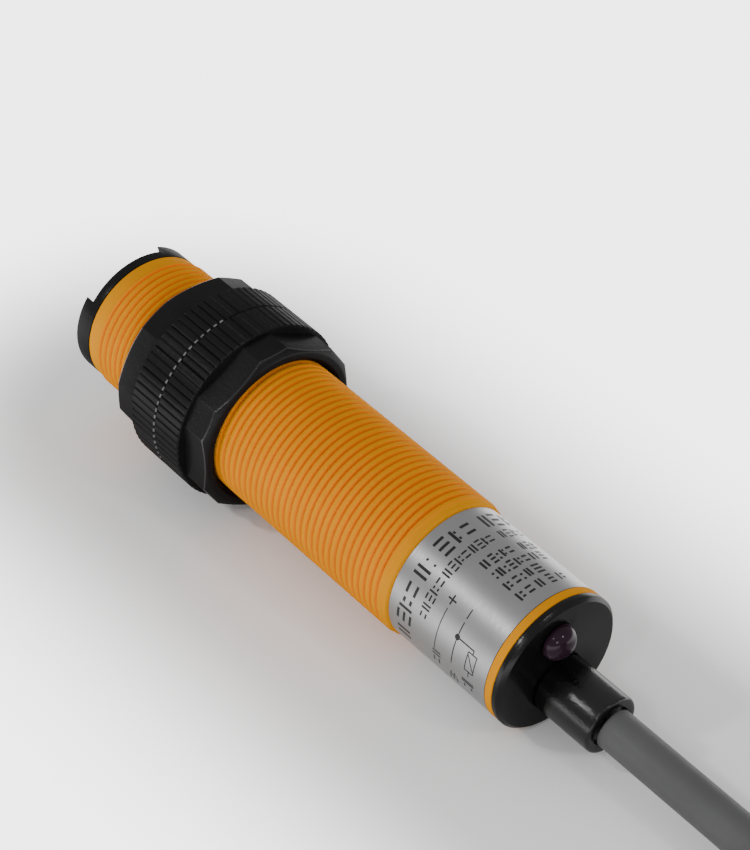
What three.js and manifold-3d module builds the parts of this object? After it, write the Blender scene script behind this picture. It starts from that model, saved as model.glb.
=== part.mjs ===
// M18 photoelectric sensor: a threaded plastic barrel with two locknuts, a cable on its rear cap,
// and the optics and circuit inside. It lies on a flat surface, leaning on its nuts and its rear cap.
// Millimetres. +Z is up, +X runs towards the cable, and the origin is under the middle of the sensor.
// The sensor's own pieces are drawn in a level frame: x from the barrel's front edge along its axis.
import * as THREE from 'three';
import { mergeVertices } from 'three/addons/utils/BufferGeometryUtils.js';
import Module from 'manifold-3d';

const wasm = await Module();
wasm.setup();

// Driving dimensions

const GAP = 0.1; // running gap between nested round pieces
const JOIN_GAP = 0.3; // gap between pieces that meet face to face
const ROUND = 48; // sides of the large round pieces
const SMALL_ROUND = 24; // sides of the small round pieces

const BARREL_LENGTH = 71.8;
const THREAD_RADIUS = 8.9; // crests of the M18 x 1 thread
const COLLAR_RADIUS = 8.7; // smooth collar in front of the thread
const BORE_RADIUS = 7.4;
const THREAD_START = 2.0;
const THREAD_END = 54.2;
const LABEL_START = 55.35;
const LABEL_END = 70.7;
const LABEL_RADIUS = 8.47;
const LABEL_THICKNESS = 0.12;
const REAR_BAND_RADIUS = 8.5;

const RIM_FRONT = -1.3; // low rim of the front bezel
const LIP_FRONT = -2.5; // two raised lips of the front bezel
const CHANNEL_HALF_WIDTH = 5.35; // the channel between the lips
const FACE_CLOCK = 15; // degrees that the front face is turned about the axis
const REAR_CLOCK = 9; // degrees that the cap's dome and boot are turned about the axis

const NUT_MEETING = 17.14; // plane where the two nuts meet
const NUT_LENGTH = 8.4;
const FLANGE_LENGTH = 4.5;
const FLANGE_RADIUS = 11.7;
const FLANGE_CHAMFER = 0.35;
const HEX_CORNER_RADIUS = 11.2; // to the ends of the long flats
const HEX_CORNER_HALF_ANGLE = 10; // degrees, half of each cut-off corner
const HEX_END_RADIUS = 10.3; // at the foot of the chamfer on the hexagon's end
const NUT_BORE_RADIUS = THREAD_RADIUS + 0.2;
const NUT_CHAMFER = 0.65; // how far the chamfer reaches along the hexagon
const FRONT_NUT_CLOCK = 1; // degrees
const REAR_NUT_CLOCK = 32.2; // degrees

const CAP_REAR = 72.9; // rear face of the cap
const CAP_RADIUS = 8.5;
const CAP_BEVEL = 0.45;
const DOME_OFFSET = 4.3; // indicator dome, from the axis
const DOME_RADIUS = 2.15;
const DOME_HEIGHT = 1.9;
const BOOT_OFFSET = -2.9; // strain relief, from the axis
const BOOT_RADIUS = 3.58;
const BOOT_END = 81.0;

const BOARD_START = 17.6;
const BOARD_END = 59.5;
const BOARD_HALF_WIDTH = 6.3;
const BOARD_HALF_THICKNESS = 0.6;
const LENS_OFFSET = 3.6; // beam axes, from the sensor's axis
const POTTING_START = 61.5;
const POTTING_END = 66.5;

const CABLE_RADIUS = 2.4;
const FOLD_RADIUS = 14.4; // folds of the hank, at the cable's centre
const NEAR_FOLD_X = 92; // centre of the fold nearest the sensor
const FAR_FOLD_X = 184;
const WAIST_START = 130; // the tie draws the runs together between these two
const WAIST_END = 146;
const WAIST_HALF_WIDTH = 5.0;
const HANK_HEIGHT = 20.0;
const JACKET_END_X = 134; // where the jacket ends on top of the hank
const CORE_BED_HEIGHT = 15.2; // top of the layer that the stripped cores lie on
const TIE_X = 141;
const TIE_THICKNESS = 0.6;
const TIE_WIDTH = 4;

// The barrel leans so that the rear nut's flange and the cap's lower edge both touch the surface.
const NUT_REST = NUT_MEETING + FLANGE_LENGTH - FLANGE_CHAMFER;
const CAP_REST = CAP_REAR - CAP_BEVEL;
const LEAN = Math.atan((FLANGE_RADIUS - CAP_RADIUS) / (CAP_REST - NUT_REST));
const SENSOR_X = -38.9; // brings the middle of the sensor over the origin
const SENSOR_Z = NUT_REST * Math.sin(LEAN) + FLANGE_RADIUS * Math.cos(LEAN);

// Solids

function toSolid(geometry) {
  const bare = geometry.clone();
  bare.deleteAttribute('normal');
  bare.deleteAttribute('uv');
  const merged = mergeVertices(bare, 1e-3);
  return new wasm.Manifold(new wasm.Mesh({
    numProp: 3,
    vertProperties: new Float32Array(merged.attributes.position.array),
    triVerts: new Uint32Array(merged.index.array),
  }));
}

function toGeometry(solid) {
  const mesh = solid.getMesh();
  const geometry = new THREE.BufferGeometry();
  geometry.setAttribute('position', new THREE.BufferAttribute(mesh.vertProperties, 3));
  geometry.setIndex(new THREE.BufferAttribute(mesh.triVerts, 1));
  geometry.computeVertexNormals();
  return geometry;
}

function cut(geometry, ...tools) {
  return toGeometry(tools.reduce((solid, tool) => solid.subtract(toSolid(tool)), toSolid(geometry)));
}

function join(geometry, ...others) {
  return toGeometry(others.reduce((solid, other) => solid.add(toSolid(other)), toSolid(geometry)));
}

function common(geometry, other) {
  return toGeometry(toSolid(geometry).intersect(toSolid(other)));
}

// A body turned about the X axis from [x, radius] points. A ring's outline is closed here.
function turned(outline, sides = ROUND) {
  const onAxis = outline[0][1] === 0;
  const closed = onAxis ? outline : [...outline, outline[0]];
  const points = closed.map(([x, radius]) => new THREE.Vector2(radius, x));
  return new THREE.LatheGeometry(points, sides).rotateZ(-Math.PI / 2);
}

// A rod along X with chamfered ends, its centre line at height z.
function rod(start, end, radius, z = 0, sides = SMALL_ROUND) {
  const chamfer = Math.min(0.1, radius / 4);
  return turned([
    [start, 0],
    [start, radius - chamfer],
    [start + chamfer, radius],
    [end - chamfer, radius],
    [end, radius - chamfer],
    [end, 0],
  ], sides).translate(0, 0, z);
}

function block(start, end, low, high) {
  const size = [end - start, high[0] - low[0], high[1] - low[1]];
  const middle = [(start + end) / 2, (low[0] + high[0]) / 2, (low[1] + high[1]) / 2];
  return new THREE.BoxGeometry(...size).translate(...middle);
}

// Extrudes an outline drawn in the YZ plane along +X.
const ALONG_X = new THREE.Matrix4().makeBasis(
  new THREE.Vector3(0, 1, 0),
  new THREE.Vector3(0, 0, 1),
  new THREE.Vector3(1, 0, 0),
);

function extrudedAlongX(shape, start, end, curveSegments = 16) {
  const settings = { depth: end - start, bevelEnabled: false, curveSegments };
  return new THREE.ExtrudeGeometry(shape, settings).applyMatrix4(ALONG_X).translate(start, 0, 0);
}

function roundTube(points, radius, sides, steps) {
  const section = new THREE.Shape();
  for (let i = 0; i < sides; i += 1) {
    const angle = (2 * Math.PI * i) / sides;
    const corner = [radius * Math.cos(angle), radius * Math.sin(angle)];
    if (i === 0) section.moveTo(...corner);
    else section.lineTo(...corner);
  }
  section.closePath();
  const path = new THREE.CatmullRomCurve3(points.map((p) => new THREE.Vector3(...p)), false, 'centripetal');
  return new THREE.ExtrudeGeometry(section, { steps, bevelEnabled: false, extrudePath: path });
}

function degrees(angle) {
  return (angle * Math.PI) / 180;
}

// Materials

function finish(color, roughness, metalness = 0) {
  return { color, roughness, metalness };
}

const YELLOW = finish(0xd7790c, 0.5);
const BLACK_PLASTIC = finish(0x262626, 0.55);
const BLACK_RUBBER = finish(0x1e1e1e, 0.75);
const SILVER_FILM = finish(0xa8a8a8, 0.4, 0.3);
const PURPLE_LENS = finish(0x2a1620, 0.1);
const RED_LENS = finish(0x7a1014, 0.1);
const GREY_PVC = finish(0x6a6a6a, 0.55);
const GREEN_BOARD = finish(0x1f5a34, 0.5);
const CHIP_BLACK = finish(0x1a1a1c, 0.6);
const TINNED = finish(0xb9b9b5, 0.35, 0.9);
const CERAMIC = finish(0xb08b5a, 0.6);
const CLEAR_EPOXY = finish(0xd8d8e0, 0.1);
const RESIN = finish(0x1c1c1e, 0.4);
const BROWN = finish(0x5a3418, 0.5);
const BLUE = finish(0x1f4f9c, 0.5);
const BLACK_WIRE = finish(0x161616, 0.5);

function piece(name, geometry, look) {
  const mesh = new THREE.Mesh(geometry, new THREE.MeshStandardMaterial(look));
  mesh.name = name;
  return mesh;
}

// Housing

function makeBarrel() {
  const chamfer = 0.3;
  return turned([
    [0, BORE_RADIUS],
    [0, COLLAR_RADIUS - chamfer],
    [chamfer, COLLAR_RADIUS],
    [THREAD_START - chamfer, COLLAR_RADIUS],
    [THREAD_START, THREAD_RADIUS],
    [THREAD_END, THREAD_RADIUS],
    [THREAD_END + chamfer, THREAD_RADIUS - 0.15],
    [LABEL_START - chamfer, THREAD_RADIUS - 0.15],
    [LABEL_START - 0.05, LABEL_RADIUS - LABEL_THICKNESS - GAP],
    [LABEL_END + 0.05, LABEL_RADIUS - LABEL_THICKNESS - GAP],
    [LABEL_END + 0.05, REAR_BAND_RADIUS],
    [BARREL_LENGTH, REAR_BAND_RADIUS],
    [BARREL_LENGTH, BORE_RADIUS],
  ]);
}

function makeLabel() {
  const inner = LABEL_RADIUS - LABEL_THICKNESS;
  return turned([
    [LABEL_START, inner],
    [LABEL_START, LABEL_RADIUS],
    [LABEL_END, LABEL_RADIUS],
    [LABEL_END, inner],
  ]);
}

// D-shaped outline of one lens or its window, the flat side towards the divider bar.
function lensOutline(clearance) {
  const radius = 6.7 + clearance;
  const halfWidth = 4.5 + clearance;
  const flat = 0.8 - clearance;
  const arcStart = Math.acos(halfWidth / radius);
  const shape = new THREE.Shape();
  shape.moveTo(-halfWidth, flat);
  shape.lineTo(halfWidth, flat);
  shape.absarc(0, 0, radius, arcStart, Math.PI - arcStart, false);
  shape.closePath();
  return shape;
}

const WINDOW_CLEARANCE = 0.15;

function makeBezel() {
  const spigotEnd = 4.0;
  const plateRear = 1.0;
  const spigotRadius = BORE_RADIUS - GAP;
  const edge = 0.25;
  const body = turned([
    [LIP_FRONT, 0],
    [LIP_FRONT, COLLAR_RADIUS - edge],
    [LIP_FRONT + edge, COLLAR_RADIUS],
    [-GAP, COLLAR_RADIUS],
    [-GAP, spigotRadius],
    [spigotEnd, spigotRadius],
    [spigotEnd, spigotRadius - 0.4],
    [plateRear, spigotRadius - 0.4],
    [plateRear, 0],
  ]);
  const channel = block(LIP_FRONT - 1, RIM_FRONT, [-CHANNEL_HALF_WIDTH, -10], [CHANNEL_HALF_WIDTH, 10]);
  const upperWindow = extrudedAlongX(lensOutline(WINDOW_CLEARANCE), RIM_FRONT - 1, spigotEnd);
  const lowerWindow = upperWindow.clone().rotateX(Math.PI);
  return cut(body, channel, upperWindow, lowerWindow);
}

function makeLens(turn) {
  const front = RIM_FRONT + 0.35;
  const rear = 2.6;
  return extrudedAlongX(lensOutline(0), front, rear).rotateX(turn);
}

// Nuts: drawn with the hexagon at the low-x end and the flange's face at x = NUT_LENGTH - gap.

function makeNut() {
  const length = NUT_LENGTH - JOIN_GAP / 2;
  const hexLength = NUT_LENGTH - FLANGE_LENGTH;
  const hexagon = new THREE.Shape();
  for (let corner = 0; corner < 6; corner += 1) {
    for (const side of [-1, 1]) {
      const angle = degrees(60 * corner + side * HEX_CORNER_HALF_ANGLE);
      const point = [HEX_CORNER_RADIUS * Math.cos(angle), HEX_CORNER_RADIUS * Math.sin(angle)];
      if (corner === 0 && side === -1) hexagon.moveTo(...point);
      else hexagon.lineTo(...point);
    }
  }
  hexagon.closePath();
  const prism = extrudedAlongX(hexagon, 0, hexLength + 0.5);
  const chamferCone = turned([
    [0, 0],
    [0, HEX_END_RADIUS],
    [NUT_CHAMFER, HEX_CORNER_RADIUS + 0.1],
    [length, HEX_CORNER_RADIUS + 0.1],
    [length, 0],
  ]);
  const flange = turned([
    [hexLength, 0],
    [hexLength, FLANGE_RADIUS - FLANGE_CHAMFER],
    [hexLength + FLANGE_CHAMFER, FLANGE_RADIUS],
    [length - FLANGE_CHAMFER, FLANGE_RADIUS],
    [length, FLANGE_RADIUS - FLANGE_CHAMFER],
    [length, 0],
  ]);
  const lead = 0.4;
  const bore = turned([
    [-1, 0],
    [-1, NUT_BORE_RADIUS + lead + 1],
    [lead, NUT_BORE_RADIUS],
    [length + 1, NUT_BORE_RADIUS],
    [length + 1, 0],
  ]);
  return cut(join(common(prism, chamferCone), flange), bore);
}

// Rear end

function makeRearCap() {
  const spigotStart = 69.0;
  const body = turned([
    [spigotStart, 0],
    [spigotStart, BORE_RADIUS - GAP],
    [BARREL_LENGTH + GAP, BORE_RADIUS - GAP],
    [BARREL_LENGTH + GAP, CAP_RADIUS],
    [CAP_REAR - CAP_BEVEL, CAP_RADIUS],
    [CAP_REAR, CAP_RADIUS - CAP_BEVEL],
    [CAP_REAR, 0],
  ]);
  const domeHole = rod(spigotStart - 1, CAP_REAR + 1, DOME_RADIUS - 0.3, DOME_OFFSET);
  const bootHole = rod(spigotStart - 1, CAP_REAR + 1, 3.0, BOOT_OFFSET);
  return cut(body, domeHole, bootHole);
}

function makeIndicatorLens() {
  const foot = CAP_REAR + GAP;
  const stemRadius = DOME_RADIUS - 0.3 - GAP;
  const crown = [15, 35, 55, 75].map((angle) => [
    foot + 0.25 + (DOME_HEIGHT - 0.25) * Math.sin(degrees(angle)),
    DOME_RADIUS * Math.cos(degrees(angle)),
  ]);
  return turned([
    [69.4, 0],
    [69.4, stemRadius],
    [foot, stemRadius],
    [foot, DOME_RADIUS],
    [foot + 0.25, DOME_RADIUS],
    ...crown,
    [foot + DOME_HEIGHT, 0],
  ], SMALL_ROUND).translate(0, 0, DOME_OFFSET);
}

function makeStrainRelief() {
  const foot = CAP_REAR + GAP;
  const neckRadius = 2.85;
  const lip = 0.35;
  return turned([
    [67.6, 0],
    [67.6, neckRadius],
    [foot, neckRadius],
    [foot, BOOT_RADIUS],
    [BOOT_END - lip, BOOT_RADIUS],
    [BOOT_END, BOOT_RADIUS - lip],
    [BOOT_END, 0],
  ], SMALL_ROUND).translate(0, 0, BOOT_OFFSET);
}

// Optics and circuit. Here z runs across the board and y through its thickness.

const DIODE_FRONT = 9.6;
const HOLDER_START = 4.3;
const HOLDER_END = 13.8;

function makeOpticsHolder() {
  const body = turned([
    [HOLDER_START, 0],
    [HOLDER_START, BORE_RADIUS - GAP],
    [HOLDER_END, BORE_RADIUS - GAP],
    [HOLDER_END, 0],
  ]);
  const beam = turned([
    [HOLDER_START - 1, 0],
    [HOLDER_START - 1, 2.9],
    [DIODE_FRONT - 0.6, 1.7],
    [HOLDER_END + 1, 1.7],
    [HOLDER_END + 1, 0],
  ], SMALL_ROUND);
  return cut(body, beam.clone().translate(0, 0, LENS_OFFSET), beam.translate(0, 0, -LENS_OFFSET));
}

// A 3 mm diode: its dome looks to the low-x end, and two legs run back over the board's faces.
function makeDiode(front, legEnd) {
  const length = 5.3;
  const radius = 1.5;
  const rear = front + length;
  const body = turned([
    [front, 0],
    [front + 0.25, 0.85],
    [front + 0.8, 1.35],
    [front + radius, radius],
    [rear - 0.9, radius],
    [rear - 0.9, radius + 0.35],
    [rear, radius + 0.35],
    [rear, 0],
  ], SMALL_ROUND);
  const legs = [-1, 1].map((side) => {
    const middle = side * 1.27;
    return block(rear - 0.5, legEnd, [middle - 0.25, -0.25], [middle + 0.25, 0.25]);
  });
  return join(body, ...legs);
}

function makeBoard() {
  return block(
    BOARD_START,
    BOARD_END,
    [-BOARD_HALF_THICKNESS, -BOARD_HALF_WIDTH],
    [BOARD_HALF_THICKNESS, BOARD_HALF_WIDTH],
  );
}

// A part soldered on the board: side 1 is the +y face and -1 the -y face.
function makeChip(start, length, across, width, height, side = 1) {
  const seat = BOARD_HALF_THICKNESS + GAP;
  const low = side > 0 ? seat : -seat - height;
  return block(start, start + length, [low, across - width / 2], [low + height, across + width / 2]);
}

function makeFilterCapacitor() {
  const radius = 2.0;
  return rod(31, 37, radius, 0).translate(0, -(BOARD_HALF_THICKNESS + GAP + radius), 0);
}

const CORE_RADIUS = 0.55;
const CORES = [
  { name: 'brown', look: BROWN, y: 1.7, onBoard: -0.8, atBoot: BOOT_OFFSET + 1.2 },
  { name: 'blue', look: BLUE, y: 1.7, onBoard: -5.0, atBoot: BOOT_OFFSET - 1.2 },
  { name: 'black', look: BLACK_WIRE, y: -1.7, onBoard: -2.9, atBoot: BOOT_OFFSET },
];

function makeInnerCore({ y, onBoard, atBoot }) {
  return roundTube(
    [[54, y, onBoard], [56.5, y, onBoard], [59.5, y, atBoot], [67.3, y, atBoot]],
    CORE_RADIUS,
    8,
    9,
  );
}

function makePottingPlug() {
  const body = turned([
    [POTTING_START, 0],
    [POTTING_START, BORE_RADIUS - GAP],
    [POTTING_END, BORE_RADIUS - GAP],
    [POTTING_END, 0],
  ]);
  const coreHoles = CORES.map(({ y, atBoot }) =>
    rod(POTTING_START - 1, POTTING_END + 1, CORE_RADIUS + 0.3, atBoot, 12).translate(0, y, 0));
  const diodeHole = rod(POTTING_START - 1, POTTING_END + 1, 2.0, DOME_OFFSET);
  return cut(body, diodeHole, ...coreHoles);
}

// Cable. These points are in the part's frame, at the centre of the cable.

const CABLE_ROUTE = [
  [42.1, 0.45, 5.1],
  [44, 0.45, 4.98],
  [46, 0.45, 4.86],
  [48.5, 0.45, 4.7],
  [51, 0.45, 4.54],
  [54, 0.45, 4.36],
  [57, 0.45, 4.17],
  [60, 0.45, 3.98],
  [62, 0.48, 3.85],
  [64, 0.56, 3.73],
  [66, 0.81, 3.6],
  [68, 1.22, 3.46],
  [70, 1.81, 3.31],
  [72.2, 2.68, 3.13],
];

function makeCable() {
  const sides = 12;
  const steps = CABLE_ROUTE.length - 1;
  return roundTube(CABLE_ROUTE, CABLE_RADIUS, sides, steps);
}

// The hank: two round folds joined by runs that the tie draws together at the waist.
function hankOutline() {
  const wide = FOLD_RADIUS + CABLE_RADIUS;
  const shape = new THREE.Shape();
  const runTo = (x, halfWidth, side) => {
    const { x: fromX, y: fromY } = shape.currentPoint;
    const handle = (x - fromX) / 2;
    shape.bezierCurveTo(fromX + handle, fromY, x - handle, side * halfWidth, x, side * halfWidth);
  };
  shape.moveTo(NEAR_FOLD_X, -wide);
  runTo(WAIST_START, WAIST_HALF_WIDTH, -1);
  shape.lineTo(WAIST_END, -WAIST_HALF_WIDTH);
  runTo(FAR_FOLD_X, wide, -1);
  shape.absarc(FAR_FOLD_X, 0, wide, -Math.PI / 2, Math.PI / 2, false);
  runTo(WAIST_END, WAIST_HALF_WIDTH, 1);
  shape.lineTo(WAIST_START, WAIST_HALF_WIDTH);
  runTo(NEAR_FOLD_X, wide, 1);
  shape.absarc(NEAR_FOLD_X, 0, wide, Math.PI / 2, 1.5 * Math.PI, false);
  return shape;
}

function makeHank() {
  const body = new THREE.ExtrudeGeometry(hankOutline(), {
    depth: HANK_HEIGHT,
    bevelEnabled: false,
    curveSegments: 10,
  });
  const coreBed = block(NEAR_FOLD_X + 4, JACKET_END_X + JOIN_GAP, [-30, CORE_BED_HEIGHT], [0.1, 30]);
  const halfGroove = TIE_WIDTH / 2 + JOIN_GAP;
  const groove = block(TIE_X - halfGroove, TIE_X + halfGroove, [-30, -1], [30, TIE_THICKNESS + JOIN_GAP]);
  return cut(body, coreBed, groove);
}

function roundedRectangle(PathType, halfWidth, low, high, radius) {
  const path = new PathType();
  path.moveTo(-halfWidth + radius, low);
  path.absarc(halfWidth - radius, low + radius, radius, -Math.PI / 2, 0, false);
  path.absarc(halfWidth - radius, high - radius, radius, 0, Math.PI / 2, false);
  path.absarc(-halfWidth + radius, high - radius, radius, Math.PI / 2, Math.PI, false);
  path.absarc(-halfWidth + radius, low + radius, radius, Math.PI, 1.5 * Math.PI, false);
  return path;
}

function makeTie() {
  const inner = WAIST_HALF_WIDTH + JOIN_GAP;
  const top = HANK_HEIGHT + JOIN_GAP;
  const band = roundedRectangle(THREE.Shape, inner + TIE_THICKNESS, 0, top + TIE_THICKNESS, 0.8);
  band.holes.push(roundedRectangle(THREE.Path, inner, TIE_THICKNESS, top, 0.2));
  return extrudedAlongX(band, TIE_X - TIE_WIDTH / 2, TIE_X + TIE_WIDTH / 2, 4);
}

// The stripped cores lie on the hank's third layer, following its run away from the waist.
const CORE_BED_ROUTE = [
  [134, -2.6],
  [126, -3.0],
  [118, -5.4],
  [109, -9.4],
];

function makeFarCore(side) {
  const radius = 0.6;
  const points = CORE_BED_ROUTE.map(([x, y], i) => [
    x,
    y + side * (1.5 + 0.25 * i),
    CORE_BED_HEIGHT + JOIN_GAP + radius,
  ]);
  return roundTube(points, radius, 8, 9);
}

// Assembly

function group(turn, ...children) {
  const made = new THREE.Group();
  made.rotation.x = degrees(turn);
  made.add(...children);
  return made;
}

const front = group(
  FACE_CLOCK,
  piece('front_bezel', makeBezel(), BLACK_PLASTIC),
  piece('emitter_lens', makeLens(0), RED_LENS),
  piece('receiver_lens', makeLens(Math.PI), RED_LENS),
  piece('optics_holder', makeOpticsHolder(), BLACK_PLASTIC),
);

const emitterDiode = piece('emitter_diode', makeDiode(DIODE_FRONT, 20), CLEAR_EPOXY);
emitterDiode.position.z = LENS_OFFSET;
const receiverDiode = piece('receiver_diode', makeDiode(DIODE_FRONT, 20), CHIP_BLACK);
receiverDiode.position.z = -LENS_OFFSET;
front.add(emitterDiode, receiverDiode);

const indicatorDiode = piece('indicator_diode', makeDiode(0, 11), RED_LENS);
indicatorDiode.rotation.z = Math.PI;
indicatorDiode.position.set(68.6, 0, DOME_OFFSET);

const rearCircuit = group(
  REAR_CLOCK,
  indicatorDiode,
  piece('potting_plug', makePottingPlug(), RESIN),
  ...CORES.map((core) => piece(`core_${core.name}`, makeInnerCore(core), core.look)),
);

const board = group(
  (FACE_CLOCK + REAR_CLOCK) / 2,
  piece('circuit_board', makeBoard(), GREEN_BOARD),
  piece('controller_chip', makeChip(24, 4.9, 0, 3.9, 1.5), CHIP_BLACK),
  piece('voltage_regulator', makeChip(33, 4.5, 1.5, 2.5, 1.5), CHIP_BLACK),
  piece('output_transistor', makeChip(42, 2.9, 1.5, 1.3, 1.0), CHIP_BLACK),
  piece('protection_diode', makeChip(47, 4.3, 3.6, 2.6, 2.0), CHIP_BLACK),
  piece('filter_capacitor', makeFilterCapacitor(), TINNED),
  piece('bypass_capacitor', makeChip(30.2, 2.0, 4.0, 1.25, 0.8), CERAMIC),
  piece('timing_capacitor', makeChip(24, 2.0, -4.0, 1.25, 0.8), CERAMIC),
  piece('gain_resistor', makeChip(24, 2.0, 4.2, 1.25, 0.5), CHIP_BLACK),
  piece('bias_resistor', makeChip(28, 2.0, -4.2, 1.25, 0.5), CHIP_BLACK),
  piece('output_resistor', makeChip(42, 3.2, -2.5, 1.6, 0.6), CHIP_BLACK),
);

const rear = group(
  REAR_CLOCK,
  piece('rear_cap', makeRearCap(), BLACK_RUBBER),
  piece('indicator_lens', makeIndicatorLens(), PURPLE_LENS),
  piece('strain_relief', makeStrainRelief(), BLACK_RUBBER),
);

const frontNut = piece('front_nut', makeNut(), BLACK_PLASTIC);
frontNut.position.x = NUT_MEETING - NUT_LENGTH;
frontNut.rotation.x = degrees(FRONT_NUT_CLOCK);

const rearNut = piece('rear_nut', makeNut(), BLACK_PLASTIC);
rearNut.position.x = NUT_MEETING + NUT_LENGTH;
rearNut.rotation.set(0, 0, Math.PI);
const rearNutTurn = group(REAR_NUT_CLOCK, rearNut);

const sensor = new THREE.Group();
sensor.add(
  piece('barrel', makeBarrel(), YELLOW),
  piece('label', makeLabel(), SILVER_FILM),
  front,
  rearCircuit,
  board,
  rear,
  frontNut,
  rearNutTurn,
);
sensor.rotation.y = LEAN;
sensor.position.set(SENSOR_X, 0, SENSOR_Z);

const assembly = new THREE.Group();
assembly.add(
  sensor,
  piece('cable', makeCable(), GREY_PVC),
  piece('cable_hank', makeHank(), GREY_PVC),
  piece('hank_tie', makeTie(), BLACK_PLASTIC),
  piece('far_core_brown', makeFarCore(1), BROWN),
  piece('far_core_blue', makeFarCore(0), BLUE),
  piece('far_core_black', makeFarCore(-1), BLACK_WIRE),
);

export default assembly;
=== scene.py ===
import math
import bmesh
import bpy
from mathutils import Matrix, Vector


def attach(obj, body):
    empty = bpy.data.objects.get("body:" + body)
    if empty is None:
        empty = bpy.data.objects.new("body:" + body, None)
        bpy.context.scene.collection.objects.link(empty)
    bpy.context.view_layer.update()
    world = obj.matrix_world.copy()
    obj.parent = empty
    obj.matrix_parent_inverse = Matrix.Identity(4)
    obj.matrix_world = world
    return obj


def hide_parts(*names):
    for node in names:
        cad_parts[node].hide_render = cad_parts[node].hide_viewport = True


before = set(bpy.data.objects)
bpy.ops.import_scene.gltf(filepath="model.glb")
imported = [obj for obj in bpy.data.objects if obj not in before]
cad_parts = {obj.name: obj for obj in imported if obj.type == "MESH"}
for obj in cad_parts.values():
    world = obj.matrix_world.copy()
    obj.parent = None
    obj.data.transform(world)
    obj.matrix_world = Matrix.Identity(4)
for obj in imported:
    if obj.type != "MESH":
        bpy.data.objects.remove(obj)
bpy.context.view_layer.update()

# Driving dimensions, in millimetres. The sensor's own pieces are drawn in a level frame:
# x from the barrel's front edge along its axis, z up. Angles run from +y towards +z.

MM = 0.001

CREST_RADIUS = 8.9
COLLAR_RADIUS = 8.7
BORE_RADIUS = 7.4
THREAD_START = 2.0
THREAD_END = 54.2
THREAD_PITCH = 1.0
THREAD_DEPTH = 0.52
LABEL_START = 55.35
LABEL_END = 70.7
LABEL_RADIUS = 8.47
LABEL_THICKNESS = 0.12
BARREL_LENGTH = 71.8
FACE_CLOCK = math.radians(15)
REAR_CLOCK = math.radians(9)

NUT_MEETING = 17.14
NUT_LENGTH = 8.4
FLANGE_LENGTH = 4.5
FLANGE_RADIUS = 11.7
FLANGE_CHAMFER = 0.35
NUT_CLEARANCE = 0.2
NUT_FACE_GAP = 0.03
KNURL_TEETH = 76
KNURL_DEPTH = 0.2
HEX_CORNER_RADIUS = 11.2
HEX_CORNER_HALF_ANGLE = math.radians(10)
HEX_END_RADIUS = 10.3
HEX_END_SLOPE = 0.65
FRONT_NUT_CLOCK = math.radians(1)
REAR_NUT_CLOCK = math.radians(32.2)

CAP_REAR = 72.9
CAP_RADIUS = 8.5
CAP_BEVEL = 0.45
SPIGOT_RADIUS = BORE_RADIUS - 0.1
DOME_OFFSET = 4.3
DOME_RADIUS = 2.15
DOME_HEIGHT = 1.9
BOOT_OFFSET = -2.9
BOOT_RADIUS = 3.58
BOOT_END = 81.0

CABLE_RADIUS = 2.4
FOLD_RADIUS = 14.4
NEAR_FOLD_X = 92
FAR_FOLD_X = 184
WAIST_START = 130
WAIST_END = 146
WAIST_OFFSET = 2.6
TIE_X = 141
TIE_THICKNESS = 0.6
TIE_WIDTH = 4
TIE_RAMP = 12
JACKET_END_X = 134
LAYER_HEIGHT = 4.85
LAYERS = 4

# The sensor leans so that the rear nut's flange and the cap's lower edge both touch the surface.
# Both values are rounded, because the carved pieces' bevels shift with the digits beyond these.
NUT_REST = NUT_MEETING + FLANGE_LENGTH - FLANGE_CHAMFER
CAP_REST = CAP_REAR - CAP_BEVEL
LEAN_DEGREES = round(math.degrees(math.atan((FLANGE_RADIUS - CAP_RADIUS) / (CAP_REST - NUT_REST))), 4)
LEAN = math.radians(LEAN_DEGREES)
SENSOR_X = -38.9
SENSOR_Z = round(NUT_REST * math.sin(LEAN) + FLANGE_RADIUS * math.cos(LEAN), 4)

# From the sensor's level frame to the scene, and from millimetres in the scene's own axes.
SENSOR = (
    Matrix.Scale(MM, 4)
    @ Matrix.Translation((SENSOR_X, 0, SENSOR_Z))
    @ Matrix.Rotation(LEAN, 4, "Y")
)
MILLIMETRES = Matrix.Scale(MM, 4)


# Camera

camera_data = bpy.data.cameras.new("camera")
camera_data.lens = 119.46
camera_data.sensor_fit = "HORIZONTAL"
camera_data.sensor_width = 36
camera_data.clip_start = 0.01
camera = bpy.data.objects.new("camera", camera_data)
camera.location = (0.16618, -0.13734, 0.19158)
camera.rotation_euler = [math.radians(a) for a in (51.516, -0.078, 49.807)]
bpy.context.scene.collection.objects.link(camera)
bpy.context.scene.camera = camera


# Mesh building


def smooth_step(t):
    t = min(1, max(0, t))
    return t * t * (3 - 2 * t)


def polar(x, radius, angle):
    return (x, radius * math.cos(angle), radius * math.sin(angle))


class Shape:
    """Points in millimetres, faces between them, and the number of each face's material."""

    def __init__(self):
        self.points = []
        self.faces = []
        self.looks = []

    def rows(self, rows, closed=False):
        """Joins rings of points one after another, and the last to the first where closed."""
        base = len(self.points)
        count = len(rows[0])
        for row in rows:
            self.points.extend(row)
        for i in range(len(rows) if closed else len(rows) - 1):
            here = base + i * count
            there = base + (i + 1) % len(rows) * count
            for k in range(count):
                m = (k + 1) % count
                self.faces.append((here + k, there + k, there + m, here + m))
                self.looks.append(0)

    def cap(self, ring):
        base = len(self.points)
        self.points.extend(ring)
        self.faces.append(tuple(range(base, base + len(ring))))
        self.looks.append(0)

    def add(self, other, look):
        """Takes in another shape, all of it in one material."""
        base = len(self.points)
        self.points.extend(other.points)
        for face in other.faces:
            self.faces.append(tuple(i + base for i in face))
            self.looks.append(look)


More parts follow.
